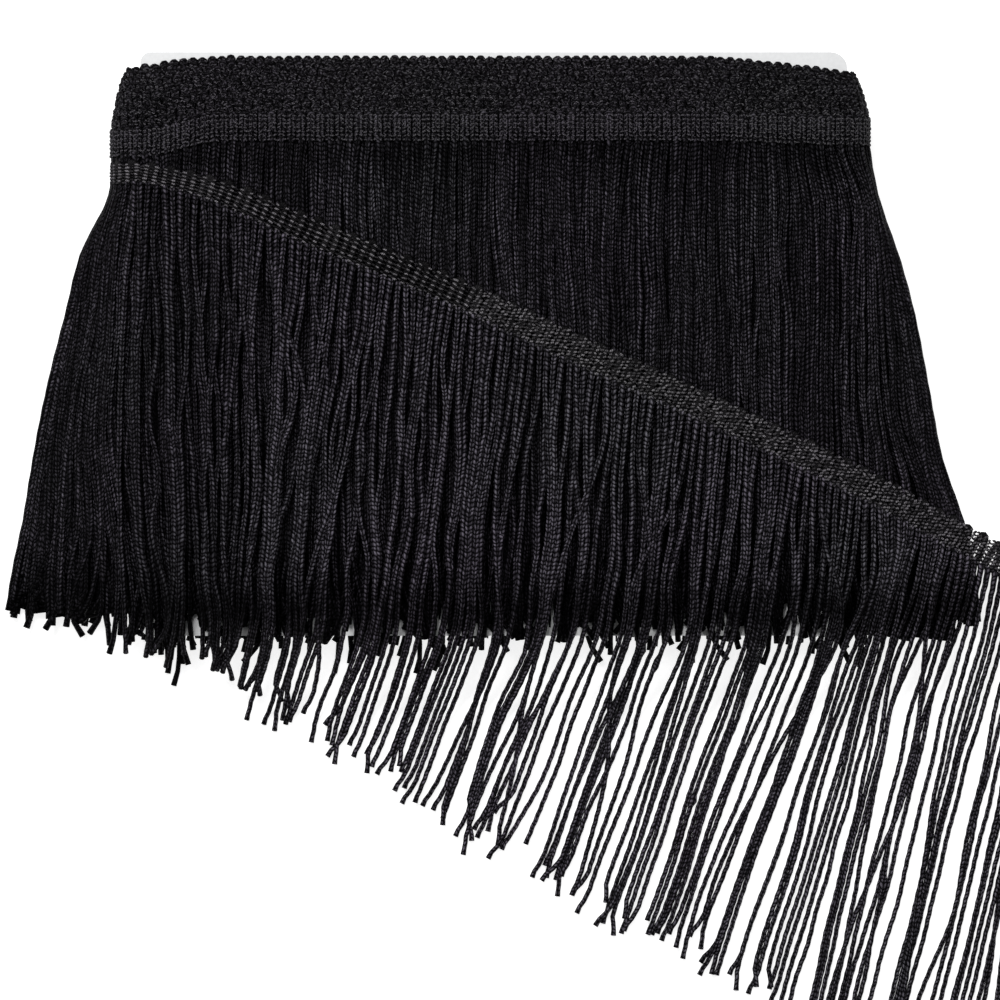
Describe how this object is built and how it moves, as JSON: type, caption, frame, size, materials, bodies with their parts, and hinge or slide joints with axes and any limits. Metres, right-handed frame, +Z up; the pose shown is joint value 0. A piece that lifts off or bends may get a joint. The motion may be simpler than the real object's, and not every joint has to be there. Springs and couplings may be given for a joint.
{
  "type": "chainette fringe trim on card",
  "caption": "Black chainette fringe trim wound round a flat white card, its loose end laid across the front and down to the surface.",
  "frame": {"origin": "centre of the whole trim's outline, on the surface that it lies on", "axes": "+X along the card's width towards the loose end, +Y towards the headings, +Z up from the surface"},
  "size_m": [0.3416, 0.3178, 0.0222],
  "materials": {
    "white_board": "matt white winding board",
    "black_heading_yarn": "knitted braid, soft sheen",
    "black_chainette": "chain-stitch cord, soft sheen"
  },
  "bodies": {
    "root": {"card": "white_board", "wound_heading": "black_heading_yarn", "wound_fringe": "black_chainette", "loose_heading": "black_heading_yarn", "loose_fringe": "black_chainette"}
  },
  "joints": []
}
